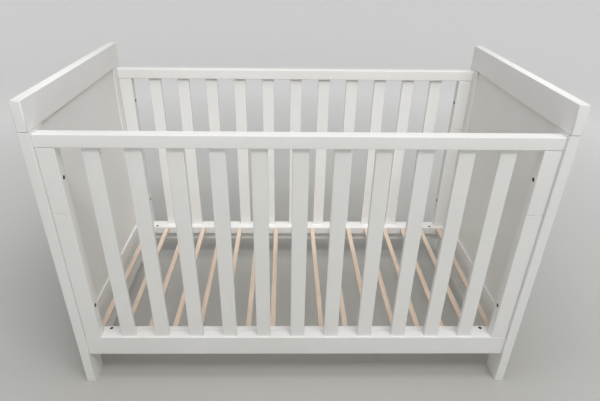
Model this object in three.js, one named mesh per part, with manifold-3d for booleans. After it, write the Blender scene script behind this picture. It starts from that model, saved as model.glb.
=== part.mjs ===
// A painted wooden cot: two panelled ends, two slatted sides and a slatted base, bolted together.
// Millimetres, +Z up. The origin is on the floor under the middle of the cot, the length runs
// along X, and the front side faces -Y. Left and right are as seen from the front.

import * as THREE from 'three';
import { mergeVertices } from 'three/addons/utils/BufferGeometryUtils.js';
import Module from 'manifold-3d';

const wasm = await Module();
wasm.setup();

// The mattress that the cot is made for, and the room left round it
const MATTRESS_LENGTH = 1200;
const MATTRESS_WIDTH = 600;
const MATTRESS_END_ROOM = 10;
const MATTRESS_SIDE_ROOM = 12;

// Ends: two posts, a top rail across them, and a panel above a deep bottom rail
const END_HEIGHT = 863;
const END_THICKNESS = 25;
const END_OVERHANG = 8;
const POST_WIDTH = 69;
const END_TOP_RAIL_HEIGHT = 72;
const END_BOTTOM_RAIL_HEIGHT = 157;
const END_FLOOR_CLEARANCE = 45;
const PANEL_THICKNESS = 12;
const PANEL_TONGUE = 8;

// Sides: a top and a bottom rail, slats between them, and at each end a stile of two lengths
const SIDE_TOP = 784;
const SIDE_FLOOR_CLEARANCE = 105;
const RAIL_DEPTH = 30;
const TOP_RAIL_HEIGHT = 32;
const BOTTOM_RAIL_HEIGHT = 65;
const STILE_WIDTH = 44;
const UPPER_STILE_LENGTH = 174;
const SLAT_COUNT = 11;
const SLAT_WIDTH = 40;
const SLAT_THICKNESS = 14;

// Base: two long rails flush with the tops of the bottom rails, and slats across them
const BASE_RAIL_DEPTH = 19;
const BASE_RAIL_HEIGHT = 29;
const BASE_END_GAP = 22;
const BASE_SLAT_COUNT = 17;
const BASE_SLAT_WIDTH = 16;
const BASE_SLAT_THICKNESS = 10;
const BASE_SLAT_DROP = 3;
const BASE_SLAT_TENON = 9;

// Tenons
const TENON_THICKNESS = 8;
const POST_TENON_LENGTH = 30;
const POST_TENON_SHOULDER = 14;
const END_RAIL_TENON_LENGTH = 13;
const END_RAIL_TENON_SHOULDER = 25;
const STILE_TENON_SHOULDER = 10;
const SIDE_TENON_LENGTH = 12;

// Bolts: two through each stile into the post, and one through each post into a base rail
const BOLT_HOLE = 7;
const BOLT_HEAD_HOLE = 11;
const BOLT_HEAD_DEPTH = 20;
const INSERT_HOLE = 9;
const INSERT_DEPTH = 18;
const UPPER_BOLT_BELOW_TOP = 113;
const LOWER_BOLT_ABOVE_RAIL = 108;
const BASE_BOLT_HEAD_HOLE = 18;
const BASE_BOLT_HEAD_DEPTH = 3;
const BASE_BOLT_ABOVE_UNDERSIDE = 8.5;
const BARREL_HOLE = 10;
const BARREL_FROM_END = 63;
const BARREL_PAST_BOLT = 6;
const BASE_BOLT_PAST_BARREL = 9;

// Softened edges, the gap left in every fit, how far a cutter reaches past a face, and how finely
// round edges and holes are drawn (an arc takes twice ARC_STEPS)
const FRAME_EDGE = 2;
const STILE_EDGE = 2.5;
const SLAT_EDGE = 2;
const BASE_EDGE = 2;
const FIT = 0.3;
const OVERRUN = 2;
const ARC_STEPS = 1;
const HOLE_SIDES = 24;

// Places that follow from the sizes
const innerLength = MATTRESS_LENGTH + 2 * MATTRESS_END_ROOM;
const sideMiddle = MATTRESS_WIDTH / 2 + MATTRESS_SIDE_ROOM + SLAT_THICKNESS / 2;
const endMiddle = (innerLength + END_THICKNESS) / 2;
const endDepth = 2 * (sideMiddle + RAIL_DEPTH / 2 + END_OVERHANG);
const postMiddle = (endDepth - POST_WIDTH) / 2;
const postTop = END_HEIGHT - END_TOP_RAIL_HEIGHT;
const postTenonWidth = POST_WIDTH - 2 * POST_TENON_SHOULDER;
const panelOpening = endDepth - 2 * POST_WIDTH;
const endRailTop = END_FLOOR_CLEARANCE + END_BOTTOM_RAIL_HEIGHT;
const endRailMiddle = endRailTop - END_BOTTOM_RAIL_HEIGHT / 2;
const endRailTenonHeight = END_BOTTOM_RAIL_HEIGHT - 2 * END_RAIL_TENON_SHOULDER;
const grooveWidth = PANEL_THICKNESS + 2 * FIT;
const grooveDepth = PANEL_TONGUE + FIT;

const railLength = innerLength - 2 * FIT;
const topRailUnderside = SIDE_TOP - TOP_RAIL_HEIGHT;
const bottomRailTop = SIDE_FLOOR_CLEARANCE + BOTTOM_RAIL_HEIGHT;
const sideTenonTop = topRailUnderside + SIDE_TENON_LENGTH;
const sideTenonFoot = bottomRailTop - SIDE_TENON_LENGTH;
const stileMiddle = (innerLength - STILE_WIDTH) / 2;
const stileTenonWidth = STILE_WIDTH - 2 * STILE_TENON_SHOULDER;
const slatGap = (innerLength - 2 * STILE_WIDTH - SLAT_COUNT * SLAT_WIDTH) / (SLAT_COUNT + 1);
const slatPitch = slatGap + SLAT_WIDTH;
const upperBoltHeight = SIDE_TOP - UPPER_BOLT_BELOW_TOP;
const lowerBoltHeight = bottomRailTop + LOWER_BOLT_ABOVE_RAIL;

const baseRailMiddle = sideMiddle - RAIL_DEPTH / 2 - FIT - BASE_RAIL_DEPTH / 2;
const baseRailInner = baseRailMiddle - BASE_RAIL_DEPTH / 2;
const baseUnderside = bottomRailTop - BASE_RAIL_HEIGHT;
const baseBoltHeight = baseUnderside + BASE_BOLT_ABOVE_UNDERSIDE;
const baseSlatMiddle = bottomRailTop - BASE_SLAT_DROP - BASE_SLAT_THICKNESS / 2;
const baseSlatReach = 2 * (baseRailInner + BASE_SLAT_TENON);
const baseSlatPitch = (innerLength - 2 * BASE_END_GAP - BASE_SLAT_WIDTH) / (BASE_SLAT_COUNT - 1);

// Finishes
const WHITE_PAINT = { color: 0xe8eae6, roughness: 0.45, metalness: 0 };
const BARE_WOOD = { color: 0xd8bfa6, roughness: 0.6, metalness: 0 };

const FRONT_AND_BACK = [-1, 1];
const LEFT_AND_RIGHT = [-1, 1];

// Turns a closed three.js geometry into a solid that can be cut and joined
function solidFrom(geometry) {
  geometry.deleteAttribute('normal');
  geometry.deleteAttribute('uv');
  const merged = mergeVertices(geometry);
  const vertProperties = new Float32Array(merged.attributes.position.array);
  const triVerts = new Uint32Array(merged.index.array);
  return new wasm.Manifold(new wasm.Mesh({ numProp: 3, vertProperties, triVerts }));
}

// Rectangle round the origin, with its corners rounded
function roundedRectangle(width, height, radius) {
  const across = width / 2 - radius;
  const up = height / 2 - radius;
  const quarter = Math.PI / 2;
  const shape = new THREE.Shape();
  shape.absarc(across, up, radius, 0, quarter);
  shape.absarc(-across, up, radius, quarter, 2 * quarter);
  shape.absarc(-across, -up, radius, 2 * quarter, 3 * quarter);
  shape.absarc(across, -up, radius, 3 * quarter, 4 * quarter);
  return shape;
}

// Bar along one axis whose four long edges are rounded
function bar(axis, [x, y, z], centre, radius) {
  const [width, height, length] = { x: [z, y, x], y: [x, z, y], z: [x, y, z] }[axis];
  const outline = roundedRectangle(width, height, radius);
  const options = { depth: length, bevelEnabled: false, curveSegments: ARC_STEPS };
  const geometry = new THREE.ExtrudeGeometry(outline, options);
  geometry.translate(0, 0, -length / 2);
  if (axis === 'x') geometry.rotateY(Math.PI / 2);
  if (axis === 'y') geometry.rotateX(-Math.PI / 2);
  return solidFrom(geometry.translate(...centre));
}

// Board whose edges along each of the named axes are rounded
function easedBoard(axes, size, centre, radius) {
  const bars = [...axes].map((axis) => bar(axis, size, centre, radius));
  return bars.reduce((body, next) => body.intersect(next));
}

// Square-edged block, for tenons, panels and the cutters of mortises and grooves
function block(size, centre) {
  return solidFrom(new THREE.BoxGeometry(...size).translate(...centre));
}

// Round cutter along one axis
function drill(axis, diameter, length, centre) {
  const geometry = new THREE.CylinderGeometry(diameter / 2, diameter / 2, length, HOLE_SIDES);
  if (axis === 'x') geometry.rotateZ(Math.PI / 2);
  if (axis === 'z') geometry.rotateX(Math.PI / 2);
  return solidFrom(geometry.translate(...centre));
}

// Named mesh of one finished piece
function piece(name, body, finish) {
  const { vertProperties, triVerts } = body.getMesh();
  const geometry = new THREE.BufferGeometry();
  geometry.setAttribute('position', new THREE.BufferAttribute(new Float32Array(vertProperties), 3));
  geometry.setIndex(new THREE.BufferAttribute(new Uint32Array(triVerts), 1));
  geometry.computeVertexNormals();
  const mesh = new THREE.Mesh(geometry, new THREE.MeshStandardMaterial(finish));
  mesh.name = name;
  return mesh;
}

function numbered(name, number) {
  return `${name}_${String(number).padStart(2, '0')}`;
}

// End top rail: a groove underneath for the panel, and a mortise for the tenon of each post
function endTopRail() {
  const middle = postTop + END_TOP_RAIL_HEIGHT / 2;
  const grooveSize = [grooveWidth, panelOpening + 2 * grooveDepth, 2 * grooveDepth];
  const size = [END_THICKNESS, endDepth, END_TOP_RAIL_HEIGHT];
  let body = easedBoard('xyz', size, [0, 0, middle], FRAME_EDGE);
  body = body.subtract(block(grooveSize, [0, 0, postTop]));
  for (const side of FRONT_AND_BACK) {
    const depth = 2 * (POST_TENON_LENGTH + FIT);
    const mortise = [TENON_THICKNESS + 2 * FIT, postTenonWidth + 2 * FIT, depth];
    body = body.subtract(block(mortise, [0, side * postMiddle, postTop]));
  }
  return body;
}

// Post: a tenon on top, a groove and a mortise in its inner edge, and the holes for three bolts.
// The face that meets the sides and the base is at +X.
function endPost(side) {
  const y = side * postMiddle;
  const innerEdge = (side * panelOpening) / 2;
  const innerFace = END_THICKNESS / 2;
  const height = postTop - FIT;
  const tenonTop = postTop + POST_TENON_LENGTH;
  const grooveFoot = endRailTop - grooveDepth;
  const grooveLength = postTop + OVERRUN - grooveFoot;
  const mortiseReach = 2 * (END_RAIL_TENON_LENGTH + FIT);

  let body = easedBoard('xz', [END_THICKNESS, POST_WIDTH, height], [0, y, height / 2], FRAME_EDGE);
  const tenonLength = tenonTop - height / 2;
  const tenon = [TENON_THICKNESS, postTenonWidth, tenonLength];
  body = body.add(block(tenon, [0, y, tenonTop - tenonLength / 2]));

  const groove = [grooveWidth, 2 * grooveDepth, grooveLength];
  body = body.subtract(block(groove, [0, innerEdge, grooveFoot + grooveLength / 2]));
  const mortise = [TENON_THICKNESS + 2 * FIT, mortiseReach, endRailTenonHeight + 2 * FIT];
  body = body.subtract(block(mortise, [0, innerEdge, endRailMiddle]));

  for (const boltHeight of [upperBoltHeight, lowerBoltHeight]) {
    const at = [innerFace, side * sideMiddle, boltHeight];
    body = body.subtract(drill('x', INSERT_HOLE, 2 * INSERT_DEPTH, at));
  }
  const baseBolt = [0, side * baseRailMiddle, baseBoltHeight];
  const baseHead = [-innerFace, side * baseRailMiddle, baseBoltHeight];
  body = body.subtract(drill('x', BOLT_HOLE, END_THICKNESS + OVERRUN, baseBolt));
  return body.subtract(drill('x', BASE_BOLT_HEAD_HOLE, 2 * BASE_BOLT_HEAD_DEPTH, baseHead));
}

// Panel with a tongue all round that sits in the grooves
function endPanel() {
  const width = panelOpening + 2 * PANEL_TONGUE;
  const height = postTop - endRailTop + 2 * PANEL_TONGUE;
  return block([PANEL_THICKNESS, width, height], [0, 0, (postTop + endRailTop) / 2]);
}

// End bottom rail: a tenon at each end and a groove on top for the panel
function endBottomRail() {
  const length = panelOpening - 2 * FIT;
  const at = [0, 0, endRailMiddle];
  const tenons = [TENON_THICKNESS, panelOpening + 2 * END_RAIL_TENON_LENGTH, endRailTenonHeight];
  const groove = [grooveWidth, panelOpening + OVERRUN, 2 * grooveDepth];
  return bar('y', [END_THICKNESS, length, END_BOTTOM_RAIL_HEIGHT], at, FRAME_EDGE)
    .add(block(tenons, at))
    .subtract(block(groove, [0, 0, endRailTop]));
}

// One end, with its inner face towards +X before the group is turned
function buildEnd(name, turn) {
  const end = new THREE.Group();
  end.add(piece(`${name}_end_top_rail`, endTopRail(), WHITE_PAINT));
  for (const side of FRONT_AND_BACK) {
    const face = side * Math.cos(turn) < 0 ? 'front' : 'back';
    end.add(piece(`${name}_end_${face}_post`, endPost(side), WHITE_PAINT));
  }
  end.add(piece(`${name}_end_panel`, endPanel(), WHITE_PAINT));
  end.add(piece(`${name}_end_bottom_rail`, endBottomRail(), WHITE_PAINT));
  end.rotation.z = turn;
  end.position.x = -endMiddle * Math.cos(turn);
  return end;
}

// Side rail with a mortise for every slat and for the two stiles, cut in from one face
function sideRail(height, middle, mortiseFace) {
  const reach = 2 * (SIDE_TENON_LENGTH + FIT);
  let body = bar('x', [railLength, RAIL_DEPTH, height], [0, 0, middle], FRAME_EDGE);
  for (const x of slatPlaces()) {
    const mortise = [SLAT_WIDTH + 2 * FIT, SLAT_THICKNESS + 2 * FIT, reach];
    body = body.subtract(bar('z', mortise, [x, 0, mortiseFace], SLAT_EDGE + FIT));
  }
  for (const end of LEFT_AND_RIGHT) {
    const mortise = [stileTenonWidth + 2 * FIT, TENON_THICKNESS + 2 * FIT, reach];
    body = body.subtract(block(mortise, [end * stileMiddle, 0, mortiseFace]));
  }
  return body;
}

function slatPlaces() {
  const places = [];
  for (let i = 0; i < SLAT_COUNT; i += 1) places.push((i - (SLAT_COUNT - 1) / 2) * slatPitch);
  return places;
}

// Stile: an upper and a lower length with eased ends, joined by a tongue through the joint, and a
// tenon into each rail. A bolt crosses each length, its head sunk into the edge by the slats.
function stile(end) {
  const x = end * stileMiddle;
  const innerEdge = x - (end * STILE_WIDTH) / 2;
  const top = topRailUnderside - FIT;
  const foot = bottomRailTop + FIT;
  const joint = top - UPPER_STILE_LENGTH;
  const tongue = [stileTenonWidth, TENON_THICKNESS, sideTenonTop - sideTenonFoot];
  let body = block(tongue, [x, 0, (sideTenonTop + sideTenonFoot) / 2]);
  for (const [low, high] of [[foot, joint], [joint, top]]) {
    const size = [STILE_WIDTH - FIT, RAIL_DEPTH, high - low];
    const centre = [x - (end * FIT) / 2, 0, (low + high) / 2];
    body = body.add(easedBoard('xz', size, centre, STILE_EDGE));
  }
  for (const boltHeight of [upperBoltHeight, lowerBoltHeight]) {
    const head = [innerEdge, 0, boltHeight];
    body = body.subtract(drill('x', BOLT_HOLE, STILE_WIDTH + OVERRUN, [x, 0, boltHeight]));
    body = body.subtract(drill('x', BOLT_HEAD_HOLE, 2 * BOLT_HEAD_DEPTH, head));
  }
  return body;
}

// One side, about the middle of its thickness
function buildSide(name, y) {
  const side = new THREE.Group();
  const topMiddle = SIDE_TOP - TOP_RAIL_HEIGHT / 2;
  const bottomMiddle = bottomRailTop - BOTTOM_RAIL_HEIGHT / 2;
  const topRail = sideRail(TOP_RAIL_HEIGHT, topMiddle, topRailUnderside);
  const bottomRail = sideRail(BOTTOM_RAIL_HEIGHT, bottomMiddle, bottomRailTop);
  side.add(piece(`${name}_side_top_rail`, topRail, WHITE_PAINT));
  side.add(piece(`${name}_side_bottom_rail`, bottomRail, WHITE_PAINT));

  for (const end of LEFT_AND_RIGHT) {
    side.add(piece(`${name}_side_${end < 0 ? 'left' : 'right'}_stile`, stile(end), WHITE_PAINT));
  }

  const slatSize = [SLAT_WIDTH, SLAT_THICKNESS, sideTenonTop - sideTenonFoot];
  slatPlaces().forEach((x, i) => {
    const body = bar('z', slatSize, [x, 0, (sideTenonTop + sideTenonFoot) / 2], SLAT_EDGE);
    side.add(piece(numbered(`${name}_side_slat`, i + 1), body, WHITE_PAINT));
  });
  side.position.y = y;
  return side;
}

function baseSlat(i, spare) {
  const x = (i - (BASE_SLAT_COUNT - 1) / 2) * baseSlatPitch;
  const size = [BASE_SLAT_WIDTH, baseSlatReach, BASE_SLAT_THICKNESS].map((length) => length + 2 * spare);
  return bar('y', size, [x, 0, baseSlatMiddle], BASE_EDGE + spare);
}

// Base rail: a mortise for every slat, and at each end a bore for a bolt along the rail and one
// from above for its barrel nut
function baseRail(side) {
  const y = side * baseRailMiddle;
  const size = [railLength, BASE_RAIL_DEPTH, BASE_RAIL_HEIGHT];
  const boltReach = 2 * (BARREL_FROM_END + BASE_BOLT_PAST_BARREL);
  const barrelFoot = baseBoltHeight - BARREL_PAST_BOLT;
  const barrelLength = bottomRailTop + OVERRUN - barrelFoot;
  let body = bar('x', size, [0, y, bottomRailTop - BASE_RAIL_HEIGHT / 2], BASE_EDGE);
  for (let i = 0; i < BASE_SLAT_COUNT; i += 1) body = body.subtract(baseSlat(i, FIT));
  for (const end of LEFT_AND_RIGHT) {
    const railEnd = (end * innerLength) / 2;
    const barrel = [railEnd - end * BARREL_FROM_END, y, barrelFoot + barrelLength / 2];
    body = body.subtract(drill('x', BOLT_HOLE, boltReach, [railEnd, y, baseBoltHeight]));
    body = body.subtract(drill('z', BARREL_HOLE, barrelLength, barrel));
  }
  return body;
}

function buildBase() {
  const base = new THREE.Group();
  for (const side of FRONT_AND_BACK) {
    base.add(piece(`base_${side < 0 ? 'front' : 'back'}_rail`, baseRail(side), WHITE_PAINT));
  }
  for (let i = 0; i < BASE_SLAT_COUNT; i += 1) {
    base.add(piece(numbered('base_slat', i + 1), baseSlat(i, 0), BARE_WOOD));
  }
  return base;
}

const cot = new THREE.Group();
cot.add(buildEnd('left', 0));
cot.add(buildEnd('right', Math.PI));
cot.add(buildSide('front', -sideMiddle));
cot.add(buildSide('back', sideMiddle));
cot.add(buildBase());

export default cot;
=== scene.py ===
"""Looks of the slatted cot: paint, bare wood, fasteners, studio light and the photograph's camera.

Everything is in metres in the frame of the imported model: +X runs along the cot, +Y to its back, +Z up.
"""

import logging
import math
from dataclasses import dataclass
from enum import Enum

import bmesh
import bpy
from mathutils import Matrix, Vector


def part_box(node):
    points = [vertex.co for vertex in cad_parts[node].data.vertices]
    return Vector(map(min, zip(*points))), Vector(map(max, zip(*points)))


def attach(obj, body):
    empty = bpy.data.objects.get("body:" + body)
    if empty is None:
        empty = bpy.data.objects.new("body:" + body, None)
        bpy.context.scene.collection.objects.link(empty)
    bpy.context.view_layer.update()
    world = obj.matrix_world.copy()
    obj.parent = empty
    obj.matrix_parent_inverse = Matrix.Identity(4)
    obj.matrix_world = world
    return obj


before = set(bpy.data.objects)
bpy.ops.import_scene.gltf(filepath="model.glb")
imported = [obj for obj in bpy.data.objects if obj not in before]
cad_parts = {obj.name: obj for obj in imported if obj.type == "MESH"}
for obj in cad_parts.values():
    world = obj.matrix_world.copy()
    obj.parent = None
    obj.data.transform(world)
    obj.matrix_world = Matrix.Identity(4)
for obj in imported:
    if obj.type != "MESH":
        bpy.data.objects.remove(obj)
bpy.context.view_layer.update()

BODY = "root"
MM = 0.001
HOLE_MARGIN = 0.05 * MM
UPWARD = Vector((0.0, 0.0, 1.0))
TURNED_SIDES = 48
SHARP_ANGLE = math.radians(35.0)
NOISE_LOW = 0.25
NOISE_HIGH = 0.75
LOG = logging.getLogger("slatted_cot")

Colour = tuple[float, float, float]
Stretch = tuple[float, float, float]
EVEN: Stretch = (1.0, 1.0, 1.0)


def linear(red: int, green: int, blue: int) -> Colour:
    """Turns a colour as a screen shows it into the linear light that a shader takes.

    Args:
        red: red, 0 to 255.
        green: green, 0 to 255.
        blue: blue, 0 to 255.

    Returns:
        The same colour in linear light, each channel 0 to 1.
    """
    shown = (red / 255.0, green / 255.0, blue / 255.0)
    return tuple(c / 12.92 if c <= 0.04045 else ((c + 0.055) / 1.055) ** 2.4 for c in shown)


def opaque(colour: Colour) -> tuple[float, float, float, float]:
    """Gives a colour its full alpha, as a colour socket takes it."""
    return (*colour, 1.0)


class Grain(Enum):
    """Way that a board's fibres run, as the pattern's frequency on X, Y and Z."""

    ALONG_X = (0.03, 1.0, 1.0)
    ALONG_Y = (1.0, 0.03, 1.0)
    ALONG_Z = (1.0, 1.0, 0.03)


class Detail(Enum):
    """Octaves of finer noise in a pattern."""

    PLAIN = 0.0
    SPECKLED = 2.0
    STREAKY = 3.0
    CLOUDY = 4.0
    FIGURED = 5.0


class Hand(Enum):
    """Which end of the cot a piece belongs to, with the sign of its X."""

    LEFT = -1
    RIGHT = 1

    @property
    def word(self) -> str:
        """Name of the end as the nodes spell it."""
        return self.name.lower()


class Face(Enum):
    """Which long side of the cot a piece belongs to, with the sign of its Y."""

    FRONT = -1
    BACK = 1

    @property
    def word(self) -> str:
        """Name of the side as the nodes spell it."""
        return self.name.lower()


class ShaderSheet:
    """A material and the nodes that are laid out in it."""

    def __init__(self, name: str) -> None:
        """Starts an empty node tree with its output and its surface shader.

        Args:
            name: the material's name.
        """
        self.material = bpy.data.materials.new(name)
        self.material.use_nodes = True
        self.tree = self.material.node_tree
        self.tree.nodes.clear()
        self.surface = self.add("ShaderNodeBsdfPrincipled")
        output = self.add("ShaderNodeOutputMaterial")
        self.join(self.surface, "BSDF", output, "Surface")
        self.place = self.add("ShaderNodeTexCoord")

    def add(self, kind: str, **sockets: object) -> bpy.types.Node:
        """Adds a node and sets its unlinked sockets.

        Args:
            kind: Blender's name of the node type.
            sockets: values by socket name, with _ for a space.

        Returns:
            The new node.
        """
        node = self.tree.nodes.new(kind)
        for name, value in sockets.items():
            node.inputs[name.replace("_", " ")].default_value = value
        return node

    def join(self, source: bpy.types.Node, out: str, target: bpy.types.Node, into: str | int) -> None:
        """Links an output to an input, both given by name (or the input by number)."""
        self.tree.links.new(source.outputs[out], target.inputs[into])

    def noise(self, scale: float, detail: Detail, stretch: Stretch = EVEN) -> bpy.types.Node:
        """Adds a noise pattern fixed to the object.

        Args:
            scale: features in a metre.
            detail: octaves of finer noise.
            stretch: frequency on each axis, so that a low value draws the pattern out along it.

        Returns:
            The noise node.
        """
        mapping = self.add("ShaderNodeMapping", Scale=stretch)
        noise = self.add("ShaderNodeTexNoise", Scale=scale, Detail=detail.value)
        self.join(self.place, "Object", mapping, "Vector")
        self.join(mapping, "Vector", noise, "Vector")
        return noise

    def ramp(self, source: bpy.types.Node, out: str, stops: list[tuple[float, Colour]]) -> bpy.types.Node:
        """Adds a colour ramp that is read at another node's value.

        Args:
            source: node that gives the value.
            out: name of its output.
            stops: place on the ramp, 0 to 1, and colour of each stop.

        Returns:
            The ramp node.
        """
        node = self.add("ShaderNodeValToRGB")
        elements = node.color_ramp.elements
        while len(elements) < len(stops):
            elements.new(1.0)
        for element, (position, colour) in zip(elements, stops):
            element.position = position
            element.color = opaque(colour)
        self.join(source, out, node, "Fac")
        return node

    def colour(self, tone: bpy.types.Node) -> None:
        """Gives the surface the colour of a node."""
        self.join(tone, "Color", self.surface, "Base Color")

    def roughen(self, noise: bpy.types.Node, low: float, high: float) -> None:
        """Has the surface's roughness follow the middle half of a noise.

        Args:
            noise: the noise node.
            low: roughness at the noise's dark end.
            high: roughness at its bright end.
        """
        node = self.add(
            "ShaderNodeMapRange", From_Min=NOISE_LOW, From_Max=NOISE_HIGH, To_Min=low, To_Max=high
        )
        self.join(noise, "Fac", node, "Value")
        self.join(node, "Result", self.surface, "Roughness")

    def blend(self, mode: str, share: float, lower: bpy.types.Node, upper: bpy.types.Node) -> bpy.types.Node:
        """Blends two colours that vary over the surface.

        Args:
            mode: Blender's name of the blend.
            share: how much of the blend shows, 0 to 1.
            lower: node whose Color output lies under.
            upper: node whose Color output lies over.

        Returns:
            The mix node, with its output named Color.
        """
        node = self.add("ShaderNodeMixRGB", Fac=share)
        node.blend_type = mode
        self.join(lower, "Color", node, "Color1")
        self.join(upper, "Color", node, "Color2")
        return node

    def relief(self, layers: list[tuple[bpy.types.Node, float, float]]) -> None:
        """Chains noises into the surface's normal.

        Args:
            layers: noise node, strength and depth in metres of each layer, from the lowest up.
        """
        below = None
        for noise, strength, depth in layers:
            bump = self.add("ShaderNodeBump", Strength=strength, Distance=depth)
            self.join(noise, "Fac", bump, "Height")
            if below:
                self.join(below, "Normal", bump, "Normal")
            below = bump
        self.join(below, "Normal", self.surface, "Normal")


@dataclass(frozen=True)
class SatinPaint:
    """White satin paint, sprayed over boards whose fibres just show through it."""

    light: Colour = linear(241, 240, 238)
    shade: Colour = linear(236, 235, 232)
    light_from: float = 0.62
    shade_until: float = 0.30
    cloud_per_metre: float = 2.6
    least_roughness: float = 0.34
    most_roughness: float = 0.46
    peel_per_metre: float = 620.0
    peel_relief: float = 0.30
    peel_depth: float = 0.05 * MM
    fibre_per_metre: float = 260.0
    fibre_relief: float = 0.25
    fibre_depth: float = 0.08 * MM

    def material(self, grain: Grain) -> bpy.types.Material:
        """Makes the paint for boards whose fibres run one way.

        Args:
            grain: way that the fibres run.

        Returns:
            The material.
        """
        sheet = ShaderSheet(f"white_paint_{grain.name.lower()}")
        clouds = sheet.noise(self.cloud_per_metre, Detail.CLOUDY)
        fibres = sheet.noise(self.fibre_per_metre, Detail.STREAKY, grain.value)
        peel = sheet.noise(self.peel_per_metre, Detail.SPECKLED)
        tones = [(self.shade_until, self.shade), (self.light_from, self.light)]
        sheet.colour(sheet.ramp(clouds, "Fac", tones))
        sheet.roughen(fibres, self.least_roughness, self.most_roughness)
        sheet.relief([
            (fibres, self.fibre_relief, self.fibre_depth),
            (peel, self.peel_relief, self.peel_depth),
        ])
        return sheet.material


@dataclass(frozen=True)
class BareWood:
    """Planed and unfinished softwood, with each slat cut from another board."""

    early: Colour = linear(233, 216, 199)
    late: Colour = linear(212, 184, 161)
    late_until: float = 0.34
    early_from: float = 0.46
    ring_per_metre: float = 130.0
    ring_relief: float = 0.30
    ring_depth: float = 0.15 * MM
    rosy: Colour = linear(232, 208, 192)
    straw: Colour = linear(229, 211, 191)
    straw_until: float = 0.35
    rosy_from: float = 0.65
    board_per_metre: float = 31.0
    board_stretch: Stretch = (1.0, 0.0, 0.0)
    board_share: float = 0.55
    pore: Colour = linear(222, 214, 204)
    clear: Colour = linear(255, 255, 255)
    pore_until: float = 0.30
    clear_from: float = 0.48
    pore_per_metre: float = 900.0
    pore_share: float = 0.7
    pore_relief: float = 0.35
    pore_depth: float = 0.10 * MM
    least_roughness: float = 0.62
    most_roughness: float = 0.78

    def material(self, grain: Grain) -> bpy.types.Material:
        """Makes the wood for slats whose fibres run one way.

        Args:
            grain: way that the fibres run.

        Returns:
            The material.
        """
        sheet = ShaderSheet("bare_wood")
        rings = sheet.noise(self.ring_per_metre, Detail.FIGURED, grain.value)
        pores = sheet.noise(self.pore_per_metre, Detail.SPECKLED, grain.value)
        boards = sheet.noise(self.board_per_metre, Detail.PLAIN, self.board_stretch)
        figure = sheet.ramp(rings, "Fac", [(self.late_until, self.late), (self.early_from, self.early)])
        cut = sheet.ramp(boards, "Fac", [(self.straw_until, self.straw), (self.rosy_from, self.rosy)])
        specks = sheet.ramp(pores, "Fac", [(self.pore_until, self.pore), (self.clear_from, self.clear)])
        toned = sheet.blend("MIX", self.board_share, figure, cut)
        sheet.colour(sheet.blend("MULTIPLY", self.pore_share, toned, specks))
        sheet.roughen(rings, self.least_roughness, self.most_roughness)
        sheet.relief([
            (rings, self.ring_relief, self.ring_depth),
            (pores, self.pore_relief, self.pore_depth),
        ])
        return sheet.material


@dataclass(frozen=True)
class DrilledWood:
    """Raw unpainted wood inside a drilled hole, torn by the bit, in tones darkened below the wood's own
    colour as painted shade.
    """

    # pale and dark are painted shade: both lie well below the raw wood's own colour, so that the hole reads
    # dark.
    pale: Colour = linear(126, 112, 96)
    dark: Colour = linear(78, 69, 60)
    dark_until: float = 0.35
    pale_from: float = 0.65
    fibre_per_metre: float = 900.0
    fibre_relief: float = 0.6
    fibre_depth: float = 0.3 * MM
    roughness: float = 0.9

    def material(self) -> bpy.types.Material:
        """Makes the raw wood of the holes, darkened with painted shade.

        Returns:
            The material.
        """
        sheet = ShaderSheet("drilled_wood")
        fibres = sheet.noise(self.fibre_per_metre, Detail.CLOUDY)
        tones = [(self.dark_until, self.dark), (self.pale_from, self.pale)]
        sheet.colour(sheet.ramp(fibres, "Fac", tones))
        sheet.surface.inputs["Roughness"].default_value = self.roughness
        sheet.relief([(fibres, self.fibre_relief, self.fibre_depth)])
        return sheet.material


@dataclass(frozen=True)
class BlackSteel:
    """Blackened steel of the bolts, inserts and barrel nuts."""

    bright: Colour = linear(86, 86, 88)
    dull: Colour = linear(58, 57, 57)
    dull_until: float = 0.35
    bright_from: float = 0.65
    bloom_per_metre: float = 420.0
    least_roughness: float = 0.34
    most_roughness: float = 0.52
    mark_per_metre: float = 2600.0
    mark_stretch: Stretch = (1.0, 1.0, 0.1)
    mark_relief: float = 0.25
    mark_depth: float = 0.02 * MM

    def material(self) -> bpy.types.Material:
        """Makes the blackened steel.

        Returns:
            The material.
        """
        sheet = ShaderSheet("black_steel")
        sheet.surface.inputs["Metallic"].default_value = 1.0
        bloom = sheet.noise(self.bloom_per_metre, Detail.CLOUDY)
        marks = sheet.noise(self.mark_per_metre, Detail.SPECKLED, self.mark_stretch)
        tones = [(self.dull_until, self.dull), (self.bright_from, self.bright)]
        sheet.colour(sheet.ramp(bloom, "Fac", tones))
        sheet.roughen(bloom, self.least_roughness, self.most_roughness)
        sheet.relief([(marks, self.mark_relief, self.mark_depth)])
        return sheet.material


class Finishes:
    """The cot's materials, each made once."""

    def __init__(self) -> None:
        """Makes the wood of the holes with its painted shade, the paint for each way of the fibres, the bare
        wood and the steel.
        """
        # The holes' wood is darker than raw wood: painted shade for the inside of the holes.
        self.hole = DrilledWood().material()
        self.paint = {grain: SatinPaint().material(grain) for grain in Grain}
        self.wood = BareWood().material(Grain.ALONG_Y)
        self.steel = BlackSteel().material()


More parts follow.
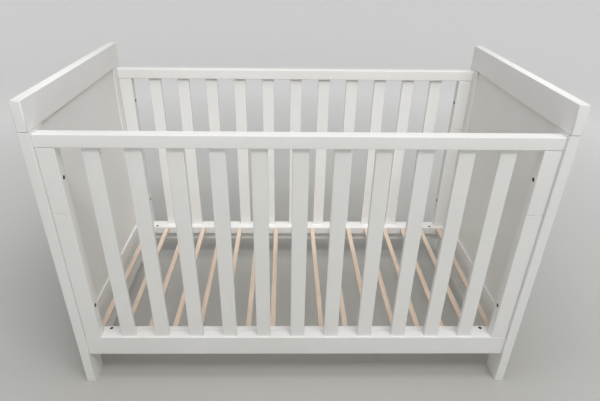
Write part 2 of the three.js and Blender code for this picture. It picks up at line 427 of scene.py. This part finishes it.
@dataclass(frozen=True)
class EasedEdges:
    """Sanded arrises of a board, as modifiers over its solid."""

    width: float = 0.35 * MM
    segments: int = 2
    least_angle: float = 50.0
    flat_angle: float = 0.5
    weld: float = 0.01 * MM

    def ease(self, board: bpy.types.Object) -> None:
        """Rounds a board's sharp edges and shades its round ones smoothly.

        Args:
            board: object of the board.
        """
        weld = board.modifiers.new("weld", "WELD")
        weld.merge_threshold = self.weld
        flats = board.modifiers.new("flats", "DECIMATE")
        flats.decimate_type = "DISSOLVE"
        flats.angle_limit = math.radians(self.flat_angle)
        flats.delimit = {"MATERIAL"}
        bevel = board.modifiers.new("arrises", "BEVEL")
        bevel.width = self.width
        bevel.segments = self.segments
        bevel.limit_method = "ANGLE"
        bevel.angle_limit = math.radians(self.least_angle)
        bevel.harden_normals = True
        normals = board.modifiers.new("shading", "WEIGHTED_NORMAL")
        normals.keep_sharp = True
        for polygon in board.data.polygons:
            polygon.use_smooth = True


def dress(node: str, material: bpy.types.Material) -> None:
    """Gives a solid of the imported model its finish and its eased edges.

    Args:
        node: name of the solid.
        material: its finish.
    """
    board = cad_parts[node]
    board.data.materials.clear()
    board.data.materials.append(material)
    EasedEdges().ease(board)
    LOG.info("dressed %s with %s", node, material.name)


def bare_hole(node: str, at: Vector, along: Vector, radius: float, material: bpy.types.Material) -> None:
    """Leaves the inside of a drilled hole without paint.

    Args:
        node: name of the drilled solid.
        at: a point on the hole's axis.
        along: way that the axis runs.
        radius: the hole's radius.
        material: finish inside the hole, here raw wood darkened with painted shade.
    """
    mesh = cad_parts[node].data
    if material.name not in mesh.materials:
        mesh.materials.append(material)
    slot = mesh.materials.find(material.name)
    reach = radius + HOLE_MARGIN
    for polygon in mesh.polygons:
        corners = (mesh.vertices[index].co for index in polygon.vertices)
        if all((corner - at).cross(along).length < reach for corner in corners):
            polygon.material_index = slot


class Section(Enum):
    """Outline of a turned piece at one height."""

    ROUND = "round"
    HEXAGON = "hexagon"


@dataclass(frozen=True)
class Ring:
    """One outline of a turned piece: half its width across flats, its height and its shape."""

    radius: float
    height: float
    section: Section = Section.ROUND

    def points(self, count: int) -> list[Vector]:
        """Gives the outline's points.

        Args:
            count: points round the outline, a multiple of 12 so that a hexagon keeps its corners.

        Returns:
            The points, once round.
        """
        sector = math.pi / 3
        points = []
        for step in range(count):
            angle = 2 * math.pi * step / count
            reach = self.radius
            if self.section is Section.HEXAGON:
                reach = self.radius / math.cos((angle % sector) - sector / 2)
            points.append(Vector((reach * math.cos(angle), reach * math.sin(angle), self.height)))
        return points


def object_from(name: str, shape: bmesh.types.BMesh) -> bpy.types.Object:
    """Makes an object of a finished shape and puts it in the scene.

    Args:
        name: the object's name.
        shape: the shape, which is freed.

    Returns:
        The new object, at the origin.
    """
    mesh = bpy.data.meshes.new(name)
    shape.to_mesh(mesh)
    shape.free()
    made = bpy.data.objects.new(name, mesh)
    bpy.context.scene.collection.objects.link(made)
    return made


def turned(name: str, rings: list[Ring], closed_on_itself: bool = False) -> bpy.types.Object:
    """Makes a piece from outlines along its own Z axis.

    Args:
        name: the piece's name.
        rings: outlines in order, from one end over the outside to the other.
        closed_on_itself: True where the last outline meets the first, as on a tube with a bore.

    Returns:
        The new object, at the origin.
    """
    shape = bmesh.new()
    loops = [[shape.verts.new(point) for point in ring.points(TURNED_SIDES)] for ring in rings]
    pairs = list(zip(loops, loops[1:]))
    if closed_on_itself:
        pairs.append((loops[-1], loops[0]))
    else:
        shape.faces.new(loops[0])
        shape.faces.new(loops[-1])
    for lower, upper in pairs:
        for step in range(TURNED_SIDES):
            after = (step + 1) % TURNED_SIDES
            shape.faces.new((lower[step], lower[after], upper[after], upper[step]))
    bmesh.ops.recalc_face_normals(shape, faces=shape.faces)
    for face in shape.faces:
        face.smooth = True
    for edge in shape.edges:
        edge.smooth = edge.calc_face_angle(0.0) < SHARP_ANGLE
    return object_from(name, shape)


def cut_out(piece: bpy.types.Object, cutter: bpy.types.Object) -> None:
    """Cuts one mesh out of another and removes the cutter.

    Args:
        piece: object that is cut.
        cutter: object whose space is taken out.
    """
    cut = piece.modifiers.new("cut", "BOOLEAN")
    cut.operation = "DIFFERENCE"
    cut.solver = "EXACT"
    cut.object = cutter
    bpy.context.view_layer.update()
    cut_mesh = bpy.data.meshes.new_from_object(piece.evaluated_get(bpy.context.evaluated_depsgraph_get()))
    piece.modifiers.clear()
    piece.data = cut_mesh
    bpy.data.objects.remove(cutter)


def fit(piece: bpy.types.Object, at: Vector, along: Vector, material: bpy.types.Material) -> None:
    """Puts a fastener in its hole.

    Args:
        piece: the fastener, made along its own Z axis.
        at: place of its origin.
        along: way that its Z axis points.
        material: its finish.
    """
    piece.matrix_world = Matrix.Translation(at) @ along.to_track_quat("Z", "Y").to_matrix().to_4x4()
    piece.data.materials.clear()
    piece.data.materials.append(material)
    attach(piece, BODY)
    LOG.info("fitted %s", piece.name)


@dataclass(frozen=True)
class Bolt:
    """A hexagon-socket bolt with its origin under the head and its head on +Z."""

    head_radius: float
    head_height: float
    socket: float
    socket_depth: float
    length: float
    shank_radius: float = 2.9 * MM
    thread_depth: float = 0.35 * MM
    thread_pitch: float = 1.0 * MM
    thread_length: float = 20.0 * MM
    chamfer: float = 0.6 * MM
    chamfer_bulge: float = 0.3

    def build(self, name: str) -> bpy.types.Object:
        """Makes the bolt.

        Args:
            name: the piece's name.

        Returns:
            The new object.
        """
        root = self.shank_radius - self.thread_depth
        bulge = self.chamfer * self.chamfer_bulge
        socket_floor = self.head_height - self.socket_depth
        point = self.socket / 8
        rings = [Ring(root - self.thread_depth, -self.length)]
        ridges = round(self.thread_length / self.thread_pitch)
        for ridge in range(ridges):
            start = -self.length + self.thread_pitch * (ridge + 0.25)
            rings.append(Ring(root, start))
            rings.append(Ring(self.shank_radius, start + self.thread_pitch / 2))
        rings += [
            Ring(self.shank_radius, 0.0),
            Ring(self.head_radius, 0.0),
            Ring(self.head_radius, self.head_height - self.chamfer),
            Ring(self.head_radius - bulge, self.head_height - bulge),
            Ring(self.head_radius - self.chamfer, self.head_height),
            Ring(self.socket / 2 + self.chamfer, self.head_height),
            Ring(self.socket / 2, self.head_height - self.chamfer / 2, Section.HEXAGON),
            Ring(self.socket / 2, socket_floor, Section.HEXAGON),
            Ring(point, socket_floor - point),
        ]
        return turned(name, rings)


@dataclass(frozen=True)
class ThreadedInsert:
    """A screw-in sleeve with its mouth at its origin and its body on -Z."""

    radius: float = 4.3 * MM
    bore_radius: float = 3.1 * MM
    length: float = 17.0 * MM
    thread_depth: float = 0.5 * MM
    thread_pitch: float = 2.0 * MM

    def build(self, name: str) -> bpy.types.Object:
        """Makes the insert.

        Args:
            name: the piece's name.

        Returns:
            The new object.
        """
        rings = [Ring(self.bore_radius, 0.0), Ring(self.bore_radius, -self.length)]
        ridges = round(self.length / self.thread_pitch) - 1
        rings.append(Ring(self.radius - self.thread_depth, -self.length))
        for ridge in range(ridges):
            start = -self.length + self.thread_pitch * (ridge + 0.5)
            rings.append(Ring(self.radius - self.thread_depth, start))
            rings.append(Ring(self.radius, start + self.thread_pitch / 2))
        rings.append(Ring(self.radius - self.thread_depth, -self.thread_pitch / 4))
        rings.append(Ring(self.radius - self.thread_depth, 0.0))
        return turned(name, rings, closed_on_itself=True)


@dataclass(frozen=True)
class BarrelNut:
    """A round nut with its origin on the bolt's axis and its slotted end on +Z."""

    radius: float = 4.8 * MM
    below_bolt: float = 5.8 * MM
    above_bolt: float = 7.0 * MM
    cross_radius: float = 3.1 * MM
    slot_width: float = 1.4 * MM
    slot_depth: float = 1.6 * MM
    chamfer: float = 0.5 * MM

    def build(self, name: str) -> bpy.types.Object:
        """Makes the nut, with the bolt's hole across it and the slot that turns it.

        Args:
            name: the piece's name.

        Returns:
            The new object.
        """
        nut = turned(name, [
            Ring(self.radius - self.chamfer, -self.below_bolt),
            Ring(self.radius, -self.below_bolt + self.chamfer),
            Ring(self.radius, self.above_bolt - self.chamfer),
            Ring(self.radius - self.chamfer, self.above_bolt),
        ])
        reach = self.radius * 2
        drill = turned("drill", [Ring(self.cross_radius, -reach), Ring(self.cross_radius, reach)])
        drill.matrix_world = Matrix.Rotation(math.pi / 2, 4, "Y")
        cut_out(nut, drill)
        shape = bmesh.new()
        bmesh.ops.create_cube(shape, size=1.0)
        bmesh.ops.scale(shape, vec=(reach * 2, self.slot_width, self.slot_depth * 2), verts=shape.verts)
        saw = object_from("saw", shape)
        saw.location.z = self.above_bolt
        cut_out(nut, saw)
        return nut


@dataclass
class PanelledEnd:
    """One end of the cot: a top rail across two posts, a recessed panel and a deep bottom rail."""

    hand: Hand
    boards: tuple[tuple[str, Grain], ...] = (
        ("top_rail", Grain.ALONG_Y),
        ("front_post", Grain.ALONG_Z),
        ("back_post", Grain.ALONG_Z),
        ("panel", Grain.ALONG_Z),
        ("bottom_rail", Grain.ALONG_Y),
    )

    def dress(self, finishes: Finishes) -> None:
        """Paints the end's boards.

        Args:
            finishes: the cot's materials.
        """
        for board, grain in self.boards:
            dress(f"{self.hand.word}_end_{board}", finishes.paint[grain])


@dataclass
class SlattedSide:
    """One long side: two rails, two stiles, upright slats and the bolts that hold it to the posts."""

    face: Face
    slats: int = 11
    bolt_below_top: float = 113.0 * MM
    bolt_above_rail: float = 108.0 * MM
    counterbore_depth: float = 20.0 * MM
    counterbore_radius: float = 5.5 * MM
    bolt: Bolt = Bolt(
        head_radius=5.0 * MM, head_height=6.0 * MM, socket=5.0 * MM, socket_depth=3.2 * MM, length=40.0 * MM
    )
    insert: ThreadedInsert = ThreadedInsert()

    def node(self, piece: str) -> str:
        """Full node name of one of the side's pieces."""
        return f"{self.face.word}_side_{piece}"

    def dress(self, finishes: Finishes) -> None:
        """Paints the side's boards.

        Args:
            finishes: the cot's materials.
        """
        for rail in ("top_rail", "bottom_rail"):
            dress(self.node(rail), finishes.paint[Grain.ALONG_X])
        for hand in Hand:
            dress(self.node(f"{hand.word}_stile"), finishes.paint[Grain.ALONG_Z])
        for number in range(1, self.slats + 1):
            dress(self.node(f"slat_{number:02d}"), finishes.paint[Grain.ALONG_Z])

    def build(self, finishes: Finishes) -> None:
        """Fits the bolts and inserts between the stiles and the posts.

        Args:
            finishes: the cot's materials.
        """
        side_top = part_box(self.node("top_rail"))[1].z
        rail_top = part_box(self.node("bottom_rail"))[1].z
        heights = {"upper": side_top - self.bolt_below_top, "lower": rail_top + self.bolt_above_rail}
        for hand in Hand:
            low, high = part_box(self.node(f"{hand.word}_stile"))
            post_low, post_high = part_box(f"{hand.word}_end_{self.face.word}_post")
            inner = low.x if hand is Hand.RIGHT else high.x
            post_face = post_low.x if hand is Hand.RIGHT else post_high.x
            inward = Vector((-hand.value, 0.0, 0.0))
            middle = (low.y + high.y) / 2
            for level, height in heights.items():
                place = f"{self.face.word}_{hand.word}_{level}"
                seat = Vector((inner, middle, height)) - inward * self.counterbore_depth
                stile = self.node(f"{hand.word}_stile")
                # The counterbore's wall gets raw wood darkened with painted shade.
                bare_hole(stile, seat, inward, self.counterbore_radius, finishes.hole)
                fit(self.bolt.build(f"{place}_stile_bolt"), seat, inward, finishes.steel)
                mouth = Vector((post_face, middle, height))
                fit(self.insert.build(f"{place}_insert"), mouth, inward, finishes.steel)


@dataclass
class SlattedBase:
    """The mattress base: two painted rails, bare slats and the bolts and nuts that hold it to the posts."""

    slats: int = 17
    bolt_above_underside: float = 8.5 * MM
    nut_from_post: float = 63.0 * MM
    nut_hole_radius: float = 5.0 * MM
    head_recess: float = 3.0 * MM
    bolt: Bolt = Bolt(
        head_radius=8.6 * MM, head_height=2.4 * MM, socket=5.0 * MM, socket_depth=2.0 * MM, length=92.0 * MM
    )
    nut: BarrelNut = BarrelNut()

    def dress(self, finishes: Finishes) -> None:
        """Paints the rails and leaves the slats bare.

        Args:
            finishes: the cot's materials.
        """
        for face in Face:
            dress(f"base_{face.word}_rail", finishes.paint[Grain.ALONG_X])
        for number in range(1, self.slats + 1):
            dress(f"base_slat_{number:02d}", finishes.wood)

    def build(self, finishes: Finishes) -> None:
        """Fits a bolt through each post and a barrel nut in each end of the rails.

        Args:
            finishes: the cot's materials.
        """
        for face in Face:
            low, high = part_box(f"base_{face.word}_rail")
            middle = (low.y + high.y) / 2
            height = low.z + self.bolt_above_underside
            for hand in Hand:
                post_low, post_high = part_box(f"{hand.word}_end_{face.word}_post")
                outer = post_high.x if hand is Hand.RIGHT else post_low.x
                inner = post_low.x if hand is Hand.RIGHT else post_high.x
                outward = Vector((hand.value, 0.0, 0.0))
                place = f"{face.word}_{hand.word}"
                seat = Vector((outer, middle, height)) - outward * self.head_recess
                fit(self.bolt.build(f"{place}_base_bolt"), seat, outward, finishes.steel)
                centre = Vector((inner, middle, height)) - outward * self.nut_from_post
                # The nut's hole gets raw wood darkened with painted shade.
                bare_hole(f"base_{face.word}_rail", centre, UPWARD, self.nut_hole_radius, finishes.hole)
                fit(self.nut.build(f"{place}_barrel_nut"), centre, UPWARD, finishes.steel)


@dataclass(frozen=True)
class SoftBox:
    """One soft lamp: its length runs along X, its power is in watts and its spread in degrees."""

    name: str
    place: tuple[float, float, float]
    aim: tuple[float, float, float]
    length: float
    depth: float
    power: float
    spread: float = 180.0


@dataclass(frozen=True)
class Studio:
    """A plain pale floor that curves up all round, soft boxes and even light from the sky."""

    floor_colour: Colour = linear(186, 185, 181)
    floor_roughness: float = 0.9
    floor_specular: float = 0.1
    wall_colour: Colour = linear(249, 250, 249)
    paling_from: float = 0.7
    paling_to: float = 3.0
    shown_glow: float = 0.12
    floor_radius: float = 4.2
    cove_radius: float = 1.6
    wall_top: float = 3.4
    cove_steps: int = 12
    sides: int = 96
    sky_colour: Colour = (1.0, 1.0, 1.0)
    sky_strength: float = 0.32
    soft_boxes: tuple[SoftBox, ...] = (
        SoftBox(
            "over_bed", place=(0.0, -0.6, 3.6), aim=(0.0, 0.0, 0.5), length=2.4, depth=0.8, power=28.0
        ),
        SoftBox(
            "front", place=(0.9, -2.3, 4.1), aim=(0.0, 0.0, 0.5), length=3.0, depth=0.8, power=81.0
        ),
        SoftBox(
            "bed_fill", place=(0.0, -1.0, 1.9), aim=(0.0, 0.32, 0.44), length=1.4, depth=0.2, power=0.57,
            spread=25.0,
        ),
    )

    def build(self) -> None:
        """Makes the floor, the lamps and the sky."""
        self.floor()
        self.lamps()
        self.sky()

    def floor(self) -> None:
        """Makes the floor and its curved surround."""
        profile = [(0.0, 0.0), (self.floor_radius, 0.0)]
        for step in range(1, self.cove_steps + 1):
            angle = math.pi / 2 * step / self.cove_steps
            out = self.floor_radius + self.cove_radius * math.sin(angle)
            profile.append((out, self.cove_radius * (1 - math.cos(angle))))
        profile.append((self.floor_radius + self.cove_radius, self.wall_top))
        shape = bmesh.new()
        points = [shape.verts.new((out, 0.0, up)) for out, up in profile]
        edges = [shape.edges.new(pair) for pair in zip(points, points[1:])]
        bmesh.ops.spin(
            shape, geom=points + edges, angle=2 * math.pi, steps=self.sides, axis=(0, 0, 1), cent=(0, 0, 0)
        )
        bmesh.ops.remove_doubles(shape, verts=shape.verts, dist=MM)
        bmesh.ops.recalc_face_normals(shape, faces=shape.faces)
        for face in shape.faces:
            face.smooth = True
        floor = object_from("studio_floor", shape)
        floor.data.materials.append(self.floor_material())

    def floor_material(self) -> bpy.types.Material:
        """Makes the floor's matt finish, which pales with the distance from the cot.

        Returns:
            The material.
        """
        sheet = ShaderSheet("pale_floor")
        reach = sheet.add("ShaderNodeVectorMath")
        reach.operation = "LENGTH"
        sheet.join(sheet.place, "Object", reach, 0)
        share = sheet.add("ShaderNodeMapRange", From_Min=self.paling_from, From_Max=self.paling_to)
        sheet.join(reach, "Value", share, "Value")
        sheet.colour(sheet.ramp(share, "Result", [(0.0, self.floor_colour), (1.0, self.wall_colour)]))
        sheet.surface.inputs["Roughness"].default_value = self.floor_roughness
        sheet.surface.inputs["Specular IOR Level"].default_value = self.floor_specular
        self.brighten_when_seen(sheet, share)
        return sheet.material

    def brighten_when_seen(self, sheet: ShaderSheet, share: bpy.types.Node) -> None:
        """Has the far floor look paler to the camera and in reflections, with no light on the cot.

        Args:
            sheet: the floor's material.
            share: node whose Result is 0 by the cot and 1 far out.
        """
        ray = sheet.add("ShaderNodeLightPath")
        seen = ray.outputs["Is Camera Ray"]
        for other in ("Is Glossy Ray", "Is Transmission Ray"):
            either = sheet.add("ShaderNodeMath")
            either.operation = "MAXIMUM"
            sheet.tree.links.new(seen, either.inputs[0])
            sheet.join(ray, other, either, 1)
            seen = either.outputs["Value"]
        glow = sheet.add("ShaderNodeMapRange", To_Max=self.shown_glow)
        sheet.join(share, "Result", glow, "Value")
        shown = sheet.add("ShaderNodeMath")
        shown.operation = "MULTIPLY"
        sheet.tree.links.new(seen, shown.inputs[0])
        sheet.join(glow, "Result", shown, 1)
        sheet.surface.inputs["Emission Color"].default_value = opaque(self.wall_colour)
        sheet.join(shown, "Value", sheet.surface, "Emission Strength")

    def lamps(self) -> None:
        """Hangs the soft boxes and turns each to the cot."""
        for box in self.soft_boxes:
            light = bpy.data.lights.new(box.name, "AREA")
            light.shape = "RECTANGLE"
            light.size = box.length
            light.size_y = box.depth
            light.energy = box.power
            light.spread = math.radians(box.spread)
            lamp = bpy.data.objects.new(box.name, light)
            lamp.location = box.place
            lamp.rotation_euler = (Vector(box.aim) - Vector(box.place)).to_track_quat("-Z", "Y").to_euler()
            lamp.visible_camera = False
            bpy.context.scene.collection.objects.link(lamp)

    def sky(self) -> None:
        """Lights the scene evenly from all round."""
        world = bpy.data.worlds.new("studio_sky")
        world.use_nodes = True
        background = world.node_tree.nodes["Background"]
        background.inputs["Color"].default_value = opaque(self.sky_colour)
        background.inputs["Strength"].default_value = self.sky_strength
        bpy.context.scene.world = world


@dataclass(frozen=True)
class PhotoCamera:
    """The photograph's camera, worked out from the cot's own edges."""

    image_width: float = 600.0
    image_height: float = 401.0
    focal_pixels: float = 484.457
    centre_across: float = 292.785
    centre_down: float = 216.961
    place: tuple[float, float, float] = (-0.03768, -1.37853, 1.17108)
    yaw: float = -1.0988
    pitch: float = 29.8014
    roll: float = 0.7473
    sensor: float = 36.0
    nearest: float = 0.01

    def build(self) -> None:
        """Makes the camera and has the scene look through it."""
        yaw, pitch, roll = (math.radians(angle) for angle in (self.yaw, self.pitch, self.roll))
        ahead = Vector((-math.sin(yaw) * math.cos(pitch), math.cos(yaw) * math.cos(pitch), -math.sin(pitch)))
        level = Vector((math.cos(yaw), math.sin(yaw), 0.0))
        upright = level.cross(ahead)
        across = math.cos(roll) * level + math.sin(roll) * upright
        up = math.cos(roll) * upright - math.sin(roll) * level
        turn = Matrix((across, up, -ahead)).transposed().to_4x4()
        data = bpy.data.cameras.new("photo_camera")
        data.sensor_fit = "HORIZONTAL"
        data.sensor_width = self.sensor
        data.lens = self.focal_pixels / self.image_width * self.sensor
        data.shift_x = (self.image_width / 2 - self.centre_across) / self.image_width
        data.shift_y = (self.centre_down - self.image_height / 2) / self.image_width
        data.clip_start = self.nearest
        camera = bpy.data.objects.new("photo_camera", data)
        camera.matrix_world = Matrix.Translation(self.place) @ turn
        bpy.context.scene.collection.objects.link(camera)
        bpy.context.scene.camera = camera


def main() -> None:
    """Builds and dresses the cot's sub-assemblies, then the studio and the camera."""
    logging.basicConfig(level=logging.INFO, format="%(name)s: %(message)s")
    bpy.context.scene.view_settings.view_transform = "Standard"
    PhotoCamera().build()
    finishes = Finishes()
    for hand in Hand:
        PanelledEnd(hand).dress(finishes)
    for face in Face:
        side = SlattedSide(face)
        side.dress(finishes)
        side.build(finishes)
    base = SlattedBase()
    base.dress(finishes)
    base.build(finishes)
    Studio().build()


if __name__ == "__main__":
    main()
